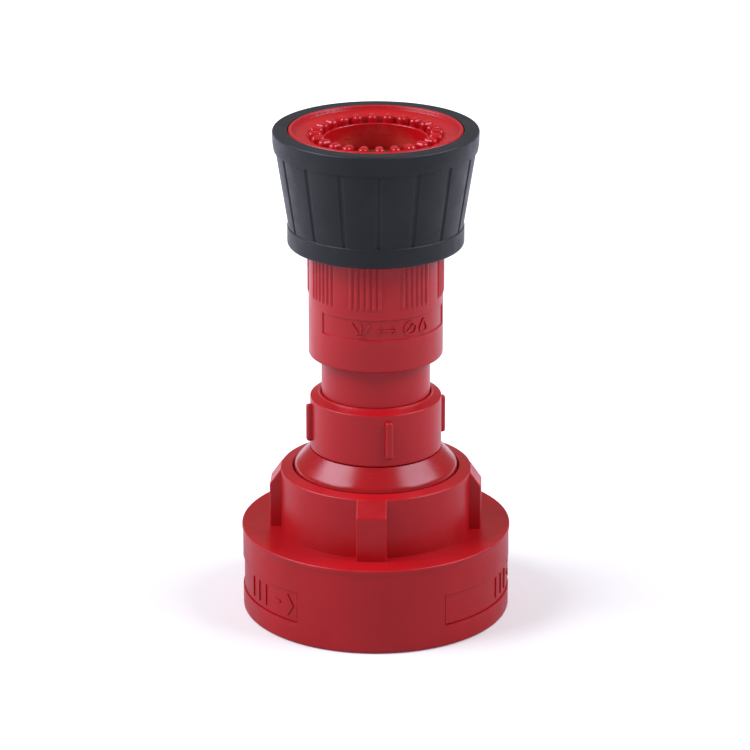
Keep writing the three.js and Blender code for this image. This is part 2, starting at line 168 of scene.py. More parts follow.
def spin(outline, azimuths, warp=None):
    """Spins a closed outline round Z. `warp` takes grids of azimuth, radius and height, and gives back new
    radii and heights."""
    turn = np.broadcast_to(azimuths[None, :], (len(outline), len(azimuths)))
    radius = np.repeat(outline[:, :1], len(azimuths), axis=1)
    height = np.repeat(outline[:, 1:], len(azimuths), axis=1)
    if warp is not None:
        radius, height = warp(turn, radius, height)
    angle = np.radians(turn)
    points = np.stack([radius * np.sin(angle), -radius * np.cos(angle), height], axis=2)
    rows, count = turn.shape
    i, j = np.meshgrid(np.arange(rows), np.arange(count), indexing="ij")
    above, beside = (i + 1) % rows, (j + 1) % count
    corners = [i * count + j, i * count + beside, above * count + beside, above * count + j]
    faces = np.stack(corners, axis=2).reshape(-1, 4)
    made = new_object("spin", points.reshape(-1, 3), faces)
    if outline[:, 0].min() < 1e-6:
        weld(made, MERGE / 10)
    return made


def weld(piece, distance):
    """Merges points that lie together, such as those where an outline meets the axis."""
    bm = bmesh.new()
    bm.from_mesh(piece.data)
    bmesh.ops.remove_doubles(bm, verts=bm.verts, dist=distance)
    bmesh.ops.dissolve_degenerate(bm, edges=bm.edges, dist=distance)
    bm.to_mesh(piece.data)
    bm.free()


def coil(outline, turns, start=0.0, lead=0.0, fade_to=None):
    """Sweeps a closed outline round Z through some turns, rising by `lead` in each. Near its ends it shrinks
    to the radius `fade_to` over a quarter turn, as a cut thread does."""
    outline = np.array(outline, float)
    following = np.roll(outline, -1, axis=0)
    area = np.sum(outline[:, 0] * following[:, 1] - following[:, 0] * outline[:, 1])
    if area < 0:
        outline = outline[::-1]
    steps = max(2, round(turns * COIL_STEPS))
    along = np.linspace(0, turns, steps + 1)
    radius = np.repeat(outline[None, :, 0], steps + 1, axis=0)
    if fade_to is not None:
        fade = np.clip(np.minimum(4 * along, 4 * (turns - along)), 0.03, 1)
        radius = fade_to + (radius - fade_to) * fade[:, None]
    height = outline[None, :, 1] + lead * along[:, None]
    angle = (math.radians(start) + 2 * math.pi * along)[:, None]
    points = np.stack([radius * np.sin(angle), -radius * np.cos(angle), height], axis=2)
    count = len(outline)
    faces = []
    for k in range(steps):
        for i in range(count):
            n = (i + 1) % count
            faces.append((k * count + i, (k + 1) * count + i, (k + 1) * count + n, k * count + n))
    faces.append(tuple(range(count)))
    faces.append(tuple(steps * count + i for i in reversed(range(count))))
    return new_object("coil", points.reshape(-1, 3), faces)


def thread(root, crest, bottom, top, lead, base, tip, start=0.0):
    """One start of a screw thread on a wall of radius `root`, with rounded edges at its crest. Its flanks run
    on a little way into the wall."""
    sunk = 0.06
    wall = root + math.copysign(sunk, root - crest)
    half = base / 2 + sunk * (base - tip) / 2 / abs(crest - root)
    soft = min(0.3, tip / 3)
    corners = [
        (wall, bottom - half),
        (crest, bottom - tip / 2, soft),
        (crest, bottom + tip / 2, soft),
        (wall, bottom + half),
    ]
    return coil(rounded(corners, steps=2), (top - bottom) / lead, start, lead, fade_to=wall)


def placed(piece, azimuth):
    """Turns a piece made at azimuth 0 to where it belongs."""
    piece.data.transform(Matrix.Rotation(math.radians(azimuth), 4, "Z"))
    return piece


def plate(outline, width, azimuth, bevel):
    """A flat plate that stands on a radius, with softened side edges. Its outline is in (radius, height)."""
    bm = bmesh.new()
    sides = [[bm.verts.new((x, -r, z)) for r, z in outline] for x in (-width / 2, width / 2)]
    bm.faces.new(sides[0])
    bm.faces.new(reversed(sides[1]))
    for i in range(len(outline)):
        n = (i + 1) % len(outline)
        bm.faces.new((sides[0][n], sides[0][i], sides[1][i], sides[1][n]))
    bmesh.ops.recalc_face_normals(bm, faces=bm.faces)
    rims = [e for e in bm.edges if abs(e.verts[0].co.x - e.verts[1].co.x) < 1e-6]
    bmesh.ops.bevel(bm, geom=rims, offset=bevel, segments=4, profile=0.5, affect="EDGES", clamp_overlap=True)
    return placed(from_bmesh("plate", bm), azimuth)


def soft_block(width, inner, outer, bottom, top, bevel, azimuth, segments=4):
    """A block with all its edges rounded, at a radius: a rib or a peg."""
    bm = bmesh.new()
    bmesh.ops.create_cube(bm, size=1)
    size = Vector((width, outer - inner, top - bottom))
    middle = Vector((0, -(inner + outer) / 2, (bottom + top) / 2))
    shape = Matrix.Translation(middle) @ Matrix.Diagonal(size.to_4d())
    bmesh.ops.transform(bm, matrix=shape, verts=bm.verts)
    bmesh.ops.bevel(bm, geom=bm.edges, offset=bevel, segments=segments, profile=0.5, affect="EDGES")
    return placed(from_bmesh("block", bm), azimuth)


def stroke(points, width, inner, outer, closed=False):
    """A raised line on a round wall, from the radius `inner` to `outer`. Points are (azimuth, height)."""
    flat = np.array(points, float) * [math.radians(1) * outer, 1]
    ahead = np.roll(flat, -1, axis=0) - flat
    behind = flat - np.roll(flat, 1, axis=0)
    if not closed:
        ahead[-1] = behind[-1]
        behind[0] = ahead[0]
    ahead = ahead / np.linalg.norm(ahead, axis=1)[:, None]
    behind = behind / np.linalg.norm(behind, axis=1)[:, None]
    unit = (ahead + behind) / np.linalg.norm(ahead + behind, axis=1)[:, None]
    side = np.stack([-unit[:, 1], unit[:, 0]], axis=1) * width / 2
    vertices = []
    for at, off in zip(flat, side):
        corners = ((at + off, inner), (at - off, inner), (at - off, outer), (at + off, outer))
        for (along, height), radius in corners:
            angle = along / outer
            vertices.append((radius * math.sin(angle), -radius * math.cos(angle), height))
    count = len(flat)
    faces = []
    for k in range(count if closed else count - 1):
        n = (k + 1) % count
        faces += [(4 * k + i, 4 * n + i, 4 * n + (i + 1) % 4, 4 * k + (i + 1) % 4) for i in range(4)]
    if not closed:
        faces += [(0, 1, 2, 3), tuple(4 * (count - 1) + i for i in (3, 2, 1, 0))]
    made = new_object("stroke", vertices, faces)
    bm = bmesh.new()
    bm.from_mesh(made.data)
    bmesh.ops.recalc_face_normals(bm, faces=bm.faces)
    bm.to_mesh(made.data)
    bm.free()
    return made


def line(start, end, steps=8):
    """Points along a straight stroke, close enough to follow a curved wall."""
    return np.linspace(start, end, steps + 1)


def settle(piece):
    """Applies the modifiers that a piece has."""
    bpy.context.view_layer.update()
    result = bpy.data.meshes.new_from_object(piece.evaluated_get(bpy.context.evaluated_depsgraph_get()))
    piece.modifiers.clear()
    piece.data = result


def combine(base, tools, operation="UNION"):
    """Joins solids to a piece, or cuts them from it, one at a time."""
    for tool in tools:
        change = base.modifiers.new("combine", "BOOLEAN")
        change.operation = operation
        change.solver = "MANIFOLD"
        change.object = tool
        settle(base)
        bpy.data.objects.remove(tool)
    return base


def together(pieces):
    """Several solids that don't touch each other, as one."""
    bm = bmesh.new()
    for piece in pieces:
        bm.from_mesh(piece.data)
        bpy.data.objects.remove(piece)
    return from_bmesh("group", bm)


def hexagon(across, bore, bottom, top, chamfer):
    """A hexagonal nut with its corners turned off above and below."""
    corner = across / math.sqrt(3)
    sides = np.array([(corner * math.sin(a), -corner * math.cos(a)) for a in np.radians(np.arange(6) * 60)])
    vertices = [(x, y, z) for z in (bottom, top) for x, y in sides]
    faces = [tuple(reversed(range(6))), tuple(range(6, 12))]
    faces += [(i, (i + 1) % 6, 6 + (i + 1) % 6, 6 + i) for i in range(6)]
    nut = new_object("nut", vertices, faces)
    flat = across / 2
    turned = [
        (0, bottom),
        (flat - 0.1, bottom),
        (corner, bottom + chamfer),
        (corner, top - chamfer),
        (flat - 0.1, top),
        (0, top),
    ]
    combine(nut, [spin(np.array(turned, float), columns(COARSE))], "INTERSECT")
    ease = 0.4
    hole = [
        (0, bottom - 1),
        (bore + ease + 1, bottom - 1),
        (bore, bottom + ease),
        (bore, top - ease),
        (bore + ease + 1, top + 1),
        (0, top + 1),
    ]
    return combine(nut, [spin(np.array(hole, float), columns(COARSE))], "DIFFERENCE")


def mark_edges(piece):
    """Stores for the materials how sharply the surface turns outwards (edge) and inwards (crease); the
    plastic paints shade into creases from the inward one.
    """
    bm = bmesh.new()
    bm.from_mesh(piece.data)
    edge_layer = bm.verts.layers.float.new("edge")
    crease_layer = bm.verts.layers.float.new("crease")
    for e in bm.edges:
        turn = e.calc_face_angle_signed(0.0)
        layer = edge_layer if turn > 0 else crease_layer
        amount = min(1.0, max(0.0, (abs(turn) - 0.12) / 0.3))
        for v in e.verts:
            v[layer] = max(v[layer], amount)
    bm.to_mesh(piece.data)
    bm.free()


def finished(piece, node, material):
    """Gives a piece its name, shading, material and body, and puts it in place of its CAD node."""
    weld(piece, MERGE)
    mark_edges(piece)
    piece.data.transform(Matrix.Diagonal((MM, MM, MM, 1)))
    piece.data.shade_smooth()
    piece.data.set_sharp_from_angle(angle=SHARP)
    flats = piece.modifiers.new("keep_flats_flat", "WEIGHTED_NORMAL")
    flats.keep_sharp = True
    settle(piece)
    piece.name = piece.data.name = node + "_fine"
    piece.data.materials.clear()
    piece.data.materials.append(material)
    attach(piece, BODY_OF[node])
    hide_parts(node)
    return piece


# ---------------------------------------------------------------------------------------------------------
# Materials


def add(tree, kind, inputs=(), **settings):
    """Adds a shader node. Its inputs are (socket, value or output) pairs."""
    node = tree.nodes.new("ShaderNode" + kind)
    for key, value in settings.items():
        setattr(node, key, value)
    for socket, value in inputs:
        if isinstance(value, bpy.types.NodeSocket):
            tree.links.new(value, node.inputs[socket])
        else:
            node.inputs[socket].default_value = value
    return node


def blank(name):
    """A new material, with its tree, its surface shader and the place on the object."""
    material = bpy.data.materials.new(name)
    material.use_nodes = True
    tree = material.node_tree
    surface = tree.nodes["Principled BSDF"]
    where = add(tree, "TexCoord").outputs["Object"]
    return material, tree, surface, where


def noise(tree, where, scale, detail=3.0, stretch=None):
    """Noise from 0 to 1, with `scale` features in a metre, drawn out along the axes `stretch` shrinks."""
    if stretch is not None:
        where = add(tree, "VectorMath", [(0, where), (1, stretch)], operation="MULTIPLY").outputs[0]
    settings = [("Vector", where), ("Scale", scale), ("Detail", detail), ("Roughness", 0.55)]
    return add(tree, "TexNoise", settings).outputs["Fac"]


def spread(tree, value, low, high, to_low, to_high):
    """Maps a value's range to another one, and holds it there."""
    source = [("Value", value), ("From Min", low), ("From Max", high)]
    result = [("To Min", to_low), ("To Max", to_high)]
    return add(tree, "MapRange", source + result).outputs["Result"]


def blend(tree, amount, first, second):
    """Mixes two colours, given as values or outputs."""
    node = add(tree, "Mix", data_type="RGBA")
    for socket, value in ((0, amount), (6, first), (7, second)):
        if isinstance(value, bpy.types.NodeSocket):
            tree.links.new(value, node.inputs[socket])
        else:
            node.inputs[socket].default_value = value if socket == 0 else (*value, 1)
    return node.outputs[2]


def times(tree, first, second):
    return add(tree, "Math", [(0, first), (1, second)], operation="MULTIPLY").outputs[0]


def plus(tree, first, second):
    return add(tree, "Math", [(0, first), (1, second)], operation="ADD").outputs[0]


def bumps(tree, layers):
    """Piles up bump layers of (height output, distance in metres), and gives the normal."""
    normal = None
    for height, distance in layers:
        settings = [("Height", height), ("Distance", distance), ("Strength", 1.0)]
        if normal is not None:
            settings.append(("Normal", normal))
        normal = add(tree, "Bump", settings).outputs["Normal"]
    return normal


def moulded_plastic(name, colour, deep, worn, roughness, grain):
    """Moulded red plastic: slow flow marks in its colour, a fine grain, faint scuffs, paler edges (wear, and
    partly a painted highlight), and painted shade that darkens its creases.
    """
    material, tree, surface, where = blank(name)
    flow = spread(tree, noise(tree, where, 45, 2.0, (1, 1, 0.45)), 0.3, 0.7, 0, 1)
    speckle = spread(tree, noise(tree, where, 1400, 2.0), 0.62, 0.75, 0, 0.35)
    base = blend(tree, flow, colour, deep)
    base = blend(tree, speckle, base, deep)
    edge = add(tree, "Attribute", attribute_name="edge").outputs["Fac"]
    crease = add(tree, "Attribute", attribute_name="crease").outputs["Fac"]
    # Paler edges in patches: wear, and partly a painted highlight along the rounded edges.
    rubbed = times(tree, edge, spread(tree, noise(tree, where, 260, 4.0), 0.45, 0.7, 0, 0.5))
    base = blend(tree, rubbed, base, worn)
    # Painted shade: creases are darkened towards the deep colour.
    base = blend(tree, times(tree, crease, 0.45), base, deep)
    scuffs = spread(tree, noise(tree, where, 700, 3.0, (1, 1, 0.12)), 0.55, 0.85, 0, 1)
    patches = spread(tree, noise(tree, where, 60, 2.0), 0.55, 0.85, 0, 1)
    scuffs = times(tree, scuffs, patches)
    tone = spread(tree, noise(tree, where, 130, 3.0), 0.3, 0.7, roughness - 0.05, roughness + 0.05)
    tone = plus(tree, tone, times(tree, scuffs, 0.08))
    tone = plus(tree, tone, times(tree, rubbed, 0.12))
    waves = noise(tree, where, 150, 1.0)
    pores = noise(tree, where, 4200, 2.0)
    normal = bumps(tree, [(waves, 0.00003), (pores, grain), (scuffs, 0.000004)])
    tree.links.new(base, surface.inputs["Base Color"])
    tree.links.new(tone, surface.inputs["Roughness"])
    tree.links.new(normal, surface.inputs["Normal"])
    surface.inputs["Specular IOR Level"].default_value = 0.38
    return material


def rubber(name, colour, dusty, roughness, grain):
    """Moulded rubber: a pitted skin, pale bloom in patches and along its edges, and a soft sheen."""
    material, tree, surface, where = blank(name)
    cloud = spread(tree, noise(tree, where, 60, 4.0), 0.35, 0.7, 0, 0.6)
    edge = add(tree, "Attribute", attribute_name="edge").outputs["Fac"]
    rubbed = times(tree, edge, spread(tree, noise(tree, where, 320, 4.0), 0.4, 0.65, 0.15, 0.9))
    base = blend(tree, cloud, colour, dusty)
    base = blend(tree, rubbed, base, tuple(1.5 * c for c in dusty))
    specks = spread(tree, noise(tree, where, 2300, 2.0), 0.66, 0.76, 0, 0.5)
    base = blend(tree, specks, base, dusty)
    tone = spread(tree, noise(tree, where, 160, 4.0), 0.3, 0.7, roughness - 0.06, roughness + 0.07)
    pits = noise(tree, where, 3000, 3.0)
    sag = noise(tree, where, 110, 1.0)
    normal = bumps(tree, [(sag, 0.00008), (pits, grain)])
    tree.links.new(base, surface.inputs["Base Color"])
    tree.links.new(tone, surface.inputs["Roughness"])
    tree.links.new(normal, surface.inputs["Normal"])
    surface.inputs["Specular IOR Level"].default_value = 0.3
    surface.inputs["Sheen Weight"].default_value = 0.04
    surface.inputs["Sheen Roughness"].default_value = 0.4
    return material


def turned_metal(name, bright, dull, roughness, rings):
    """Turned metal: fine tool rings round Z, stains that dull it, and bright worn edges."""
    material, tree, surface, where = blank(name)
    stain = spread(tree, noise(tree, where, 130, 5.0), 0.35, 0.7, 0, 1)
    edge = add(tree, "Attribute", attribute_name="edge").outputs["Fac"]
    base = blend(tree, stain, bright, dull)
    base = blend(tree, times(tree, edge, 0.5), base, bright)
    settings = [("Vector", where), ("Scale", rings), ("Distortion", 0.4), ("Detail", 2.0)]
    tool = add(tree, "TexWave", settings, wave_type="RINGS", rings_direction="Z").outputs["Fac"]
    tone = plus(tree, times(tree, stain, 0.16), roughness)
    tone = plus(tree, tone, times(tree, tool, 0.05))
    normal = bumps(tree, [(tool, 0.00001), (noise(tree, where, 2600, 3.0), 0.000006)])
    tree.links.new(base, surface.inputs["Base Color"])
    tree.links.new(tone, surface.inputs["Roughness"])
    tree.links.new(normal, surface.inputs["Normal"])
    surface.inputs["Metallic"].default_value = 1.0
    return material


def studio_floor():
    """A pale floor with faint clouding and a glow towards its back and its far edges. Near the object it
    throws back less light than it shows."""
    material, tree, surface, where = blank("pale_floor")
    cloud = spread(tree, noise(tree, where, 3, 3.0), 0.3, 0.7, 0, 1)
    seen_colour = blend(tree, cloud, (0.88, 0.87, 0.78), (0.85, 0.84, 0.75))
    axes = add(tree, "SeparateXYZ", [(0, where)]).outputs
    away = add(tree, "VectorMath", [(0, where)], operation="LENGTH").outputs["Value"]
    near = spread(tree, away, 0.12, 0.4, 1, 0)
    thrown_colour = blend(tree, near, (0.8, 0.8, 0.8), (0.4, 0.4, 0.4))
    seen = add(tree, "LightPath").outputs["Is Camera Ray"]
    tree.links.new(blend(tree, seen, thrown_colour, seen_colour), surface.inputs["Base Color"])
    glow = spread(tree, axes["Y"], -0.15, 0.75, 0.0, 0.8)
    far = times(tree, seen, spread(tree, away, 0.3, 1.4, 0.0, 0.8))
    glow = add(tree, "Math", [(0, glow), (1, far)], operation="MAXIMUM").outputs[0]
    tree.links.new(glow, surface.inputs["Emission Strength"])
    surface.inputs["Emission Color"].default_value = (0.92, 0.94, 1.1, 1)
    surface.inputs["Roughness"].default_value = 0.9
    surface.inputs["Specular IOR Level"].default_value = 0.1
    return material


SATIN_RED = moulded_plastic(
    "satin_red_plastic", (0.47, 0.0065, 0.0105), (0.40, 0.005, 0.008), (0.58, 0.022, 0.032), 0.33, 0.00001
)
GLOSS_RED = moulded_plastic(
    "gloss_red_plastic", (0.38, 0.0048, 0.0076), (0.33, 0.0036, 0.0056), (0.52, 0.018, 0.026), 0.25, 0.000003
)
POLISHED_RED = moulded_plastic(
    "polished_red_plastic", (0.48, 0.006, 0.0095), (0.42, 0.0045, 0.007), (0.6, 0.02, 0.03), 0.17, 0.000002
)
BUMPER_RUBBER = rubber("bumper_rubber", (0.0095, 0.0105, 0.012), (0.019, 0.0205, 0.022), 0.46, 0.00002)
SEAL_RUBBER = rubber("seal_rubber", (0.006, 0.006, 0.0065), (0.012, 0.012, 0.013), 0.42, 0.000006)
BRASS = turned_metal("dull_brass", (0.56, 0.40, 0.16), (0.33, 0.23, 0.09), 0.32, 900)
STEEL = turned_metal("stainless_steel", (0.62, 0.62, 0.61), (0.42, 0.42, 0.42), 0.24, 1100)

# ---------------------------------------------------------------------------------------------------------
# Coupling

SKIRT_TOP = 32.6
RING_RADIUS = 35.2
SLEEVE_BORE = 30.45
SHOULDER = 28.0
WIRE_HEIGHT = 40.0
WIRE_HALF = 1.6
HOSE = {"root": 39.4, "crest": 37.4, "bottom": 3.2, "top": 16.2, "lead": 3.4, "base": 2.2, "tip": 0.8}
RELIEF = {"radius": 40.8, "bottom": 22.75}
LUG = {"azimuth": -2.4, "width": 11.1, "inner": 33.0, "outer": 39.0, "shoulder": 48.3, "soft": 0.55}
LABEL = {"bottom": 8.1, "top": 20.2, "depth": 0.5, "width": 114.0, "centres": (-92.4, 87.6)}


def label_recess(azimuth, centre, half, height, bottom, top, soft, soft_azimuth):
    """How far inside a recessed panel a point is, from 0 to 1."""
    off = np.abs((azimuth - centre + 180) % 360 - 180)
    return np.clip((half - off) / soft_azimuth, 0, 1) * within(height, bottom, top, soft)


def coupling_warp(azimuth, radius, height):
    """Sinks the two panels into the skirt, with a fine groove along each one's foot and ends."""
    outer = radius > HOSE["root"] + 4
    half, bottom, top = LABEL["width"] / 2, LABEL["bottom"], LABEL["top"]
    sunk = np.zeros_like(radius)
    for centre in LABEL["centres"]:
        inside = label_recess(azimuth, centre, half, height, bottom, top, 0.05, 0.1)
        field = label_recess(azimuth, centre, half - 0.5, height, bottom + 0.4, top + 1, 0.1, 0.15)
        sunk = np.maximum(sunk, inside * (LABEL["depth"] + 0.35 * (1 - field)))
    return radius - outer * sunk, height


def skirt_marks(radius):
    """Generic raised marks in the skirt's panels: three ticks, a dash and a chevron in each."""
    floor, proud = radius - LABEL["depth"] - 0.3, radius - 0.1
    low, high = LABEL["bottom"] + 2.2, LABEL["top"] - 2.0
    middle = (low + high) / 2
    marks = []

    def draw(points):
        marks.append(stroke(points, 0.8, floor, proud))

    for centre, first in zip(LABEL["centres"], (26, -23)):
        for k in range(3):
            at = centre + first + 5.5 * k
            draw(line((at, low), (at, high)))
        dash = centre + first + 17
        draw(line((dash, middle), (dash + 4, middle)))
        foot = centre + first + 25
        point = foot + 3.2
        draw([*line((foot, low), (point, middle)), *line((point, middle), (foot, high))[1:]])
    return together(marks)


def coupling_ring():
    """The swivel ring: a skirt with the hose thread and two panels, and an upper ring with four lugs."""
    lip, _, top = reach("coupling_ring")
    skirt = lip - 0.3
    outline = rounded(
        [
            (skirt, 0, 0.9),
            (skirt, SKIRT_TOP - 2.6, 0.8),
            (lip, SKIRT_TOP - 1.3, 0.5),
            (lip, SKIRT_TOP, 0.5),
            (40.0, SKIRT_TOP - 0.75),
            (RING_RADIUS, SKIRT_TOP - 0.9),
            (RING_RADIUS, top - 0.75, 0.55),
            (SLEEVE_BORE + 0.4, top, 0.2),
            (SLEEVE_BORE, top - 0.5, 0.2),
            (SLEEVE_BORE, WIRE_HEIGHT + WIRE_HALF, 0.2),
            (31.6, WIRE_HEIGHT + WIRE_HALF, 0.5),
            (31.6, WIRE_HEIGHT - WIRE_HALF, 0.5),
            (SLEEVE_BORE, WIRE_HEIGHT - WIRE_HALF, 0.2),
            (SLEEVE_BORE, SHOULDER, 0.4),
            (RELIEF["radius"], SHOULDER, 0.8),
            (RELIEF["radius"], RELIEF["bottom"], 0.3),
            (HOSE["root"], RELIEF["bottom"], 0.3),
            (HOSE["root"], 1.3, 0.3),
            (HOSE["root"] + 1.4, 0, 0.3),
        ]
    )
    levels = [LABEL["bottom"] + x for x in (0, 0.05, 0.4, 0.5)] + [LABEL["top"] - 0.05, LABEL["top"]]
    half = LABEL["width"] / 2
    ends = [half - x for x in (0, 0.1, 0.5, 0.65)]
    sides = [centre + way * end for centre in LABEL["centres"] for way in (-1, 1) for end in ends]
    ring = spin(dense(outline, levels=levels, outside=45), columns(FINE, sides), coupling_warp)
    lug = rounded(
        [
            (LUG["inner"], SKIRT_TOP - 1.6),
            (LUG["outer"], SKIRT_TOP - 1.6),
            (LUG["outer"], LUG["shoulder"], 1.6),
            (RING_RADIUS - 0.3, top - 0.75, 0.6),
            (LUG["inner"], top - 0.75),
        ]
    )
    lugs = together([plate(lug, LUG["width"], LUG["azimuth"] + 90 * k, LUG["soft"]) for k in range(4)])
    combine(ring, [lugs, thread(**HOSE), skirt_marks(skirt)])
    return finished(ring, "coupling_ring", SATIN_RED)


def hose_gasket():
    outer, bottom, top = reach("hose_gasket")
    corners = [(33.2, bottom, 0.4), (outer, bottom, 0.4), (outer, top, 0.4), (33.2, top, 0.4)]
    gasket = spin(dense(rounded(corners)), columns(COARSE))
    return finished(gasket, "hose_gasket", SEAL_RUBBER)


def swivel_wire():
    """A split ring of wire, in a groove that the coupling and the adapter share."""
    wire = coil(circle(30.25, WIRE_HEIGHT, 1.13, 16), 346 / 360)
    return finished(wire, "swivel_wire", STEEL)


# ---------------------------------------------------------------------------------------------------------
# Cone adapter, union nut and body

BORE = 15.5
UNION = {"lead": 2.3, "base": 1.5, "tip": 0.5}
NECK = {"root": 20.9, "crest": 21.7, "bottom": 65.2, **UNION}
NUT = {"radius": 24.1, "bottom": 62.8, "edge": 82.3, "hole": 20.15, "lip": 79.4}
NUT_THREAD = {"root": 22.8, "crest": 22.0, "bottom": 65.0, "top": 76.0, "start": 180, **UNION}
NUT_RIB = {"width": 2.8, "inner": 22.9, "outer": 26.0, "bottom": 65.9, "top": 80.1, "bevel": 0.95}
NUT_RIBS_AZIMUTH = 11.3
TUBE = 19.9
DRIVE = {"lead": 12.0, "base": 3.4, "tip": 1.8}
DRIVE_START = 105.4
SEALS = {"body_o_ring_rear": 140.1, "body_o_ring_front": 144.2}
STEM = 4.0
STEM_TIP = 3.0
STEM_SEAT = 131.0
EASE = 0.2


def cone_adapter():
    """The tail in one moulding: flange, sleeve with the wire's groove, cone and threaded neck."""
    flange, bottom, top = reach("cone_adapter")
    outline = rounded(
        [
            (27.3, bottom, 0.4),
            (flange, bottom, 0.5),
            (flange, SHOULDER - 0.35, 0.5),
            (30.1, SHOULDER - 0.35, 0.3),
            (30.1, WIRE_HEIGHT - WIRE_HALF, 0.2),
            (28.9, WIRE_HEIGHT - WIRE_HALF, 0.4),
            (28.9, WIRE_HEIGHT + WIRE_HALF, 0.4),
            (30.1, WIRE_HEIGHT + WIRE_HALF, 0.2),
            (30.1, 55.75, 3.4),
            (24.2, 62.5, 0.25),
            (NECK["root"], 62.5, 0.3),
            (NECK["root"], top, 0.8),
            (BORE, top, 0.3),
            (BORE, top - 6, 1.5),
            (25.4, 53.0, 3.0),
            (26.6, 49.5, 3.0),
        ]
    )
    adapter = spin(dense(outline), columns(FINE))
    combine(adapter, [thread(top=top - 2, **NECK)])
    return finished(adapter, "cone_adapter", GLOSS_RED)


def union_gasket():
    outer, bottom, top = reach("union_gasket")
    corners = [(15.8, bottom, 0.4), (outer, bottom, 0.4), (outer, top, 0.4), (15.8, top, 0.4)]
    gasket = spin(dense(rounded(corners)), columns(COARSE))
    return finished(gasket, "union_gasket", SEAL_RUBBER)


def union_nut():
    """The collar that holds the body to the neck, with four slim ribs."""
    _, _, top = reach("union_nut")
    outline = rounded(
        [
            (NUT["radius"], NUT["bottom"], 0.35),
            (NUT["radius"], NUT["edge"], 0.5),
            (21.0, 83.4, 0.2),
            (20.8, top, 0.2),
            (NUT["hole"], top, 0.2),
            (NUT["hole"], NUT["lip"], 0.3),
            (NUT_THREAD["root"], NUT["lip"], 0.4),
            (NUT_THREAD["root"], NUT["bottom"], 0.3),
        ]
    )
    collar = spin(dense(outline), columns(FINE))
    ribs = [soft_block(azimuth=NUT_RIBS_AZIMUTH + 90 * k, segments=5, **NUT_RIB) for k in range(4)]
    combine(collar, [together(ribs), thread(**NUT_THREAD)])
    return finished(collar, "union_nut", SATIN_RED)


def nut_retaining_ring():
    """A split ring in the tube's groove, which the nut's lip pulls on."""
    section = rounded([(18.9, 76.8, 0.3), (21.2, 76.8, 0.3), (21.2, 79.1, 0.3), (18.9, 79.1, 0.3)], 3)
    return finished(coil(section, 348 / 360), "nut_retaining_ring", STEEL)


def stem_hub():
    """The sleeve that holds the stem, with its three legs to the wall of the bore."""
    bore = STEM + EASE
    corners = [(bore, 117, 0.3), (6.5, 117, 0.6), (6.5, STEM_SEAT, 0.6), (bore, STEM_SEAT, 0.3)]
    hub = spin(dense(rounded(corners)), columns(COARSE))
    legs = [soft_block(3, 5.3, BORE + 0.9, 118, 130, 0.5, 120 * k, 3) for k in range(3)]
    combine(hub, [together(legs)])
    through = rounded([(0, 100), (bore, 100), (bore, 140), (0, 140)])
    return combine(hub, [spin(dense(through), columns(COARSE))], "DIFFERENCE")


def nozzle_body():
    """The waterway tube: grooves for the split ring and the seals, the drive thread and the stem's hub."""
    _, bottom, top = reach("nozzle_body")

    def groove(low, high, depth):
        return [(TUBE, low, 0.15), (depth, low, 0.3), (depth, high, 0.3), (TUBE, high, 0.15)]

    corners = [(BORE, bottom, 0.3), (TUBE, bottom, 0.4), *groove(76.6, 79.3, 18.6)]
    for height in SEALS.values():
        corners += groove(height - 1.25, height + 1.25, 18.0)
    corners += [(TUBE, top, 0.7), (BORE, top, 0.5)]
    body = spin(dense(rounded(corners)), columns(FINE))
    drive = [thread(TUBE, 21.5, DRIVE_START, 124, start=180 * k, **DRIVE) for k in range(2)]
    combine(body, [*drive, stem_hub()])
    return finished(body, "nozzle_body", SATIN_RED)


def body_seals():
    for node, height in SEALS.items():
        finished(spin(circle(19.15, height, 0.9), columns(COARSE)), node, SEAL_RUBBER)


# ---------------------------------------------------------------------------------------------------------
# Stem and baffle


def stem():
    """The rod along the axis, with a collar that sits on the hub and a threaded tip."""
    _, bottom, top = reach("stem")
    collar = STEM_SEAT + EASE
    root = STEM_TIP - 0.35
    step = 164.4
    corners = [
        (0, bottom),
        (STEM, bottom, 0.8),
        (STEM, collar, 0.1),
        (6.0, collar, 0.3),
        (6.0, collar + 2.8, 0.4),
        (STEM, collar + 3.8, 0.5),
        (STEM, step, 0.3),
        (root, step),
        (root, top, 0.4),
        (0, top),
    ]
    rod = spin(dense(rounded(corners)), columns(COARSE))
    front = thread(root, STEM_TIP, step + 1.2, top - 1, lead=1.0, base=0.8, tip=0.2)
    return finished(combine(rod, [front]), "stem", BRASS)


def washer(node, bore, edge, material):
    """A flat ring the size of its CAD node, with its edges rounded."""
    outer, bottom, top = reach(node)
    corners = [(bore, bottom, edge), (outer, bottom, edge), (outer, top, edge), (bore, top, edge)]
    return finished(spin(dense(rounded(corners, 3)), columns(COARSE)), node, material)


def nut(node, across, bore, slot, material):
    """A hexagonal nut as high as its CAD node."""
    _, bottom, top = reach(node)
    return finished(hexagon(across, bore, bottom, top, 0.6), node, material)


def baffle():
    """The cup that sits over the rubber seat, with a spot face for its nut."""
    outer, bottom, top = reach("baffle")
    outline = rounded(
        [
            (14.4, bottom, 0.15),
            (outer - 0.7, bottom, 0.3),
            (outer, bottom + 2, 0.4),
            (outer, top, 0.6),
            (6.2, top, 0.3),
            (6.2, 169.6, 0.3),
            (STEM_TIP + EASE, 169.6, 0.1),
            (STEM_TIP + EASE, 168.4, 0.1),
            (14.4, 168.4, 0.2),
        ]
    )
    return finished(spin(dense(outline, 2.0), columns(FINE)), "baffle", BRASS)


# ---------------------------------------------------------------------------------------------------------
# Barrel

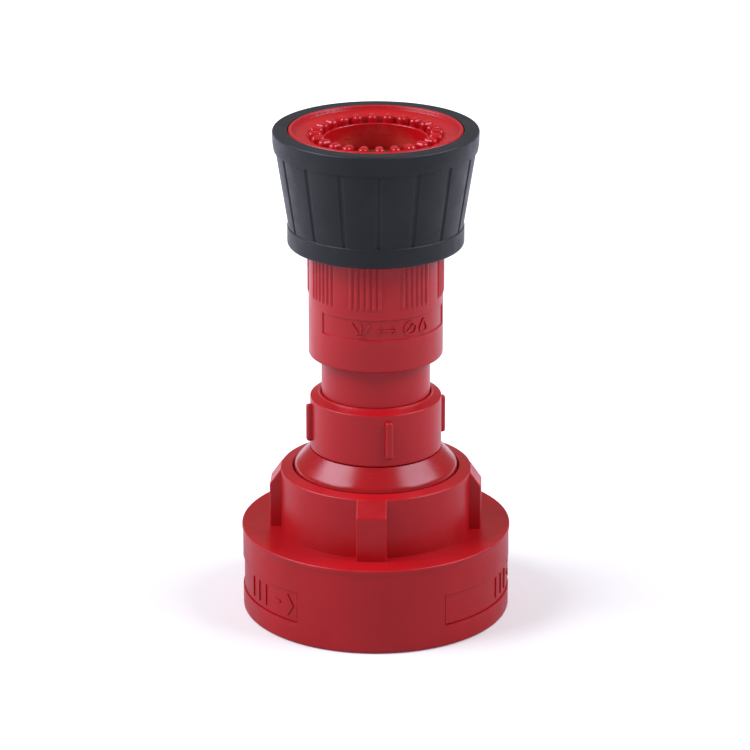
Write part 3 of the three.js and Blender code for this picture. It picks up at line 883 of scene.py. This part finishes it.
BARREL = {"radius": 24.5, "bore": 20.3, "throat": 11.5, "mouth": 18.4, "rim": 31.5, "rim_bottom": 177.0}
GRIP = {"radius": 24.9, "bottom": 122.3, "fade": 1.2}
BARREL_THREAD = {"root": 21.9, "crest": 20.6, "bottom": 116.8, "top": 123.6, **DRIVE}
WIPER = {"radius": 21.15, "height": 101.9, "section": 0.92}
RIDGES = {"groups": 8, "first": -9.0, "count": 6, "pitch": 5.0, "half": 0.4, "valley": 0.3}
PANEL = {"left": -52.0, "right": 80.5, "bottom": 111.1, "top": 119.0, "depth": 0.45}
PEG_OUTER = 24.6


def ridge_height(azimuth):
    """The section of the grip: groups of fine upright ridges 1 high, with valleys cut a little below 0."""
    pitch = 360 / RIDGES["groups"]
    off = (azimuth - RIDGES["first"] + pitch / 2) % pitch - pitch / 2
    place = off / RIDGES["pitch"] + (RIDGES["count"] - 1) / 2
    nearest = np.clip(np.round(place), 0, RIDGES["count"] - 1)
    near = np.clip(1 - np.abs(place - nearest) / RIDGES["half"], 0, 1)
    ridge = np.sin(near * math.pi / 2) ** 0.6
    return ridge - RIDGES["valley"] * (1 - ridge) * within(place, -0.5, RIDGES["count"] - 0.5, 0.1)


def barrel_warp(azimuth, radius, height):
    """Raises the grip's ridges, which fade in above its foot, and sinks the panel below them."""
    outer = (radius > BARREL["radius"] - 0.4) & (height < 172)
    rise = np.clip((height - GRIP["bottom"]) / GRIP["fade"], 0, 1) ** 0.5
    grip = rise * ridge_height(azimuth) * (GRIP["radius"] - BARREL["radius"])
    off = (azimuth + 180) % 360 - 180
    inside = within(off, PANEL["left"], PANEL["right"], 0.5)
    inside = inside * within(height, PANEL["bottom"], PANEL["top"], 0.25)
    return radius + outer * (grip - inside * PANEL["depth"]), height


def barrel_marks():
    """Raised pictograms in the panel: a spray, an arrow with two heads, a crossed-out ring and a drop."""
    radius = BARREL["radius"]
    floor, proud = radius - PANEL["depth"] - 0.3, radius - 0.02
    low, high = PANEL["bottom"] + 1.5, PANEL["top"] - 1.6
    middle = (low + high) / 2
    size = (high - low) / 2
    across = math.degrees(size / radius)
    turn = np.linspace(0, 2 * math.pi, 32, endpoint=False)

    def bold(points, closed=False):
        return stroke(points, 0.66, floor, proud, closed)

    def slim(points):
        return stroke(points, 0.5, floor, proud)

    fan = -13.0
    spray = [bold(line((fan + 0.5 * x, low + 1.3), (fan + 1.6 * x, high), 4)) for x in (-5.0, 0.0, 5.0)]
    spray.append(bold(line((fan - 3.4, low), (fan + 3.4, low), 4)))

    left, right = 1.0, 18.5
    arrow = slim(line((left + 0.4, middle), (right - 0.4, middle), 12))
    heads = []
    for tip, way in ((left, 1), (right, -1)):
        back = tip + way * 4.2
        heads.append(slim([(back, middle - 1.45), (tip, middle), (back, middle + 1.45)]))
    combine(arrow, heads)

    centre = 31.0
    ring = bold([(centre + across * math.sin(t), middle + size * math.cos(t)) for t in turn], closed=True)
    rise, run = 0.74 * size, 0.74 * across
    combine(ring, [bold(line((centre - run, middle - rise), (centre + run, middle + rise)))])

    centre = 45.0
    widths = [0.992 * across * math.sin(t) * math.sin(t / 2) ** 1.5 for t in turn]
    outline = [(centre + width, middle + size * math.cos(t)) for width, t in zip(widths, turn)]
    drop = bold(outline, closed=True)
    return together([*spray, drop, arrow, ring])


def barrel():
    """The turning sleeve: grip and panel outside, a flared head, and the throat, bore and thread inside."""
    _, bottom, top = reach("barrel")
    radius, bore, root = BARREL["radius"], BARREL["bore"], BARREL_THREAD["root"]
    throat, mouth, rim = BARREL["throat"], BARREL["mouth"], BARREL["rim"]
    groove = WIPER["height"]
    ledge = reach("fog_teeth_ring")[1] - 0.03
    outline = rounded(
        [
            (radius, bottom, 0.9),
            (radius, 173.5, 0.3),
            (28.4, 173.5, 0.2),
            (26.0, 160.0),
            (28.1, 160.0, 0.2),
            (31.0, 176.2, 0.4),
            (rim, BARREL["rim_bottom"], 0.3),
            (rim, top, 0.75),
            (30.1, top - 0.1, 0.5),
            (29.6, 182.0, 0.45),
            (PEG_OUTER + 0.1, 180.95, 0.1),
            (PEG_OUTER + 0.1, ledge),
            (mouth, ledge),
            (mouth, 164.3, 0.6),
            (13.5, 164.3, 0.2),
            (13.3, 165.7, 0.4),
            (12.1, 165.7, 0.3),
            (throat, 164.3, 0.5),
            (throat, 160.9, 0.4),
            (throat + 0.9, 160.4, 0.3),
            (bore, 160.4, 0.5),
            (bore, 138.0, 0.2),
            (root, 136.6, 0.3),
            (root, 104.7, 0.3),
            (bore, 103.5, 0.2),
            (bore, groove + 1.25, 0.05),
            (22.3, groove + 1.25, 0.3),
            (22.3, groove - 1.25, 0.3),
            (bore, groove - 1.25, 0.1),
            (bore, bottom, 0.5),
        ],
        4,
    )
    levels = [GRIP["bottom"] + x for x in (0, 0.15, 0.4, 0.8, GRIP["fade"])]
    levels += [PANEL["bottom"], PANEL["bottom"] + 0.25, PANEL["top"] - 0.25, PANEL["top"]]
    pitch = 360 / RIDGES["groups"]
    peaks = [
        RIDGES["first"] + pitch * g + RIDGES["pitch"] * (k - (RIDGES["count"] - 1) / 2)
        for g in range(RIDGES["groups"])
        for k in range(RIDGES["count"])
    ]
    foot = RIDGES["half"] * RIDGES["pitch"]
    edges = [peak + foot * part for peak in peaks for part in (-1, -0.7, -0.25, 0.25, 0.7, 1)]
    edges += [PANEL["left"], PANEL["left"] + 0.5, PANEL["right"] - 0.5, PANEL["right"]]
    shell = spin(dense(outline, levels=levels, outside=24), columns(MIDDLING, edges), barrel_warp)
    climb = (BARREL_THREAD["bottom"] - DRIVE_START) / DRIVE["lead"]
    starts = [360 * ((k + 0.5) / 2 + climb) for k in range(2)]
    ridges = [thread(start=start, **BARREL_THREAD) for start in starts]
    combine(shell, [*ridges, barrel_marks()])
    return finished(shell, "barrel", SATIN_RED)


def barrel_wiper_ring():
    ring = spin(circle(**WIPER), columns(COARSE))
    return finished(ring, "barrel_wiper_ring", SEAL_RUBBER)


PEG = {"width": 3.4, "inner": 19.25, "outer": 24.3, "bottom": 175.7, "top": 182.7, "bevel": 1.55}
PEGS = {"count": 24, "azimuth": 3.4}


def fog_teeth_ring():
    """A ring with a trough round its top, in which round-topped pegs stand."""
    _, bottom, _ = reach("fog_teeth_ring")
    mouth = BARREL["mouth"]
    outline = rounded(
        [
            (mouth, bottom),
            (PEG_OUTER, bottom),
            (PEG_OUTER, 180.9, 0.1),
            (24.2, 180.9, 0.2),
            (22.8, 177.5, 0.4),
            (19.4, 177.5, 0.3),
            (19.4, 180.0, 0.35),
            (mouth, 180.0, 0.45),
        ]
    )
    ring = spin(dense(outline), columns(FINE))
    places = [PEGS["azimuth"] + 360 / PEGS["count"] * k for k in range(PEGS["count"])]
    pegs = [soft_block(azimuth=place, segments=6, **PEG) for place in places]
    combine(ring, [together(pegs)])
    return finished(ring, "fog_teeth_ring", POLISHED_RED)


# The staves' grooves: half their width and half their flat floor's, in degrees, then their depth and reach.
STAVES = {"count": 16, "azimuth": 1.8, "half": 1.9, "floor": 0.5}
GROOVE = {"depth": 0.45, "bottom": 147.9, "top": 175.9}
BELLY = 0.18


def bumper_warp(azimuth, radius, height):
    """Cuts the grooves between the staves, and bellies each stave a little."""
    pitch = 360 / STAVES["count"]
    off = np.abs((azimuth - STAVES["azimuth"] + pitch / 2) % pitch - pitch / 2)
    groove = np.clip((STAVES["half"] - off) / (STAVES["half"] - STAVES["floor"]), 0, 1)
    groove = groove * groove * (3 - 2 * groove)
    belly = BELLY * (1 - (2 * off / pitch - 1) ** 2)
    on_wall = (radius > 31) * within(height, GROOVE["bottom"], GROOVE["top"], 0.3)
    return radius - on_wall * (groove * GROOVE["depth"] - belly + BELLY), height


def bumper():
    """The rubber guard on the barrel's head: a wall of staves between two bands."""
    outer, bottom, top = reach("bumper")
    rim = BARREL["rim"] + 0.3
    outline = rounded(
        [
            (25.1, bottom, 0.5),
            (32.05, bottom, 1.2),
            (32.05, GROOVE["bottom"] - 0.2, 0.4),
            (31.75, GROOVE["bottom"], 0.1),
            (36.15, GROOVE["top"], 0.1),
            (36.75, GROOVE["top"] + 0.25, 0.12),
            (outer - 0.1, 178.6, 2.0),
            (outer, 182.2, 0.3),
            (outer, top, 0.8),
            (rim, top, 0.3),
            (rim, BARREL["rim_bottom"] - 0.3, 0.2),
            (31.3, 175.9, 0.2),
            (28.4, 159.7, 0.4),
            (25.1, 159.7, 0.2),
        ]
    )
    levels = [GROOVE["bottom"], GROOVE["bottom"] + 0.3, GROOVE["top"] - 0.3, GROOVE["top"]]
    grooves = [STAVES["azimuth"] + 360 / STAVES["count"] * k for k in range(STAVES["count"])]
    side = (0.23, 0.3, 0.45, 0.62, 0.78, 0.9, 1)
    parts = [*(-part for part in reversed(side)), 0, *side]
    edges = [groove + STAVES["half"] * part for groove in grooves for part in parts]
    guard = spin(dense(outline, levels=levels, outside=31), columns(FINE, edges), bumper_warp)
    return finished(guard, "bumper", BUMPER_RUBBER)


# ---------------------------------------------------------------------------------------------------------
# Studio


CAMERA = {"elevation": 19.769, "distance": 1.3775, "aim": 0.0895, "lens": 180.6}
SOFTBOX = {"elevation": 43, "distance": 1.3, "aim": 0.08, "width": 1.0, "height": 0.7}
SOFTBOX_COLOUR = (0.95, 0.96, 1.18)


def direction(azimuth, elevation):
    """The way from the object to something at an azimuth and an elevation, in degrees."""
    a, e = math.radians(azimuth), math.radians(elevation)
    return Vector((math.sin(a) * math.cos(e), -math.cos(a) * math.cos(e), math.sin(e)))


def camera():
    """A view of the object's front from a little above, with a long lens. All the studio is in metres."""
    data = bpy.data.cameras.new("camera")
    data.sensor_width = 36
    data.lens = CAMERA["lens"]
    data.shift_x = -0.0011
    data.shift_y = 0.0004
    made = bpy.data.objects.new("camera", data)
    made.location = Vector((0, 0, CAMERA["aim"])) + direction(0, CAMERA["elevation"]) * CAMERA["distance"]
    made.rotation_euler = (math.radians(90 - CAMERA["elevation"]), 0, 0)
    bpy.context.scene.collection.objects.link(made)
    bpy.context.scene.camera = made


def softbox(name, azimuth, watts):
    """A rectangular area light, aimed at the middle of the object."""
    data = bpy.data.lights.new(name, "AREA")
    data.shape = "RECTANGLE"
    data.size = SOFTBOX["width"]
    data.size_y = SOFTBOX["height"]
    data.energy = watts
    data.color = SOFTBOX_COLOUR
    made = bpy.data.objects.new(name, data)
    way = direction(azimuth, SOFTBOX["elevation"])
    made.location = Vector((0, 0, SOFTBOX["aim"])) + way * SOFTBOX["distance"]
    made.rotation_euler = way.to_track_quat("Z", "Y").to_euler()
    bpy.context.scene.collection.objects.link(made)


def studio():
    """A floor just under the object, two softboxes, and an even world that looks white to the camera."""
    bm = bmesh.new()
    bmesh.ops.create_grid(bm, x_segments=8, y_segments=8, size=4)
    bmesh.ops.translate(bm, vec=(0, 0, -0.0001), verts=bm.verts)
    floor = from_bmesh("floor", bm)
    floor.data.materials.append(studio_floor())
    softbox("left_softbox", -79, 18)
    softbox("right_softbox", 81, 14)
    world = bpy.data.worlds.new("studio")
    world.use_nodes = True
    tree = world.node_tree
    seen = add(tree, "LightPath").outputs["Is Camera Ray"]
    light = spread(tree, seen, 0, 1, 0.27, 0.95)
    tree.links.new(light, tree.nodes["Background"].inputs["Strength"])
    tree.nodes["Background"].inputs["Color"].default_value = (1, 1, 1, 1)
    bpy.context.scene.world = world
    bpy.context.scene.view_settings.view_transform = "Standard"


camera()
studio()

coupling_ring()
hose_gasket()
swivel_wire()
cone_adapter()
union_gasket()
union_nut()
nut_retaining_ring()
nozzle_body()
body_seals()
stem()
washer("stem_washer", STEM + EASE, 0.2, STEEL)
nut("stem_nut", 12.5, STEM + EASE, "brass", BRASS)
washer("seat_washer", STEM_TIP + EASE, 0.2, STEEL)
washer("baffle_seat", STEM_TIP + EASE, 0.35, SEAL_RUBBER)
baffle()
nut("baffle_nut", 9.5, STEM_TIP + EASE, "steel", STEEL)
barrel_wiper_ring()
barrel()
fog_teeth_ring()
bumper()
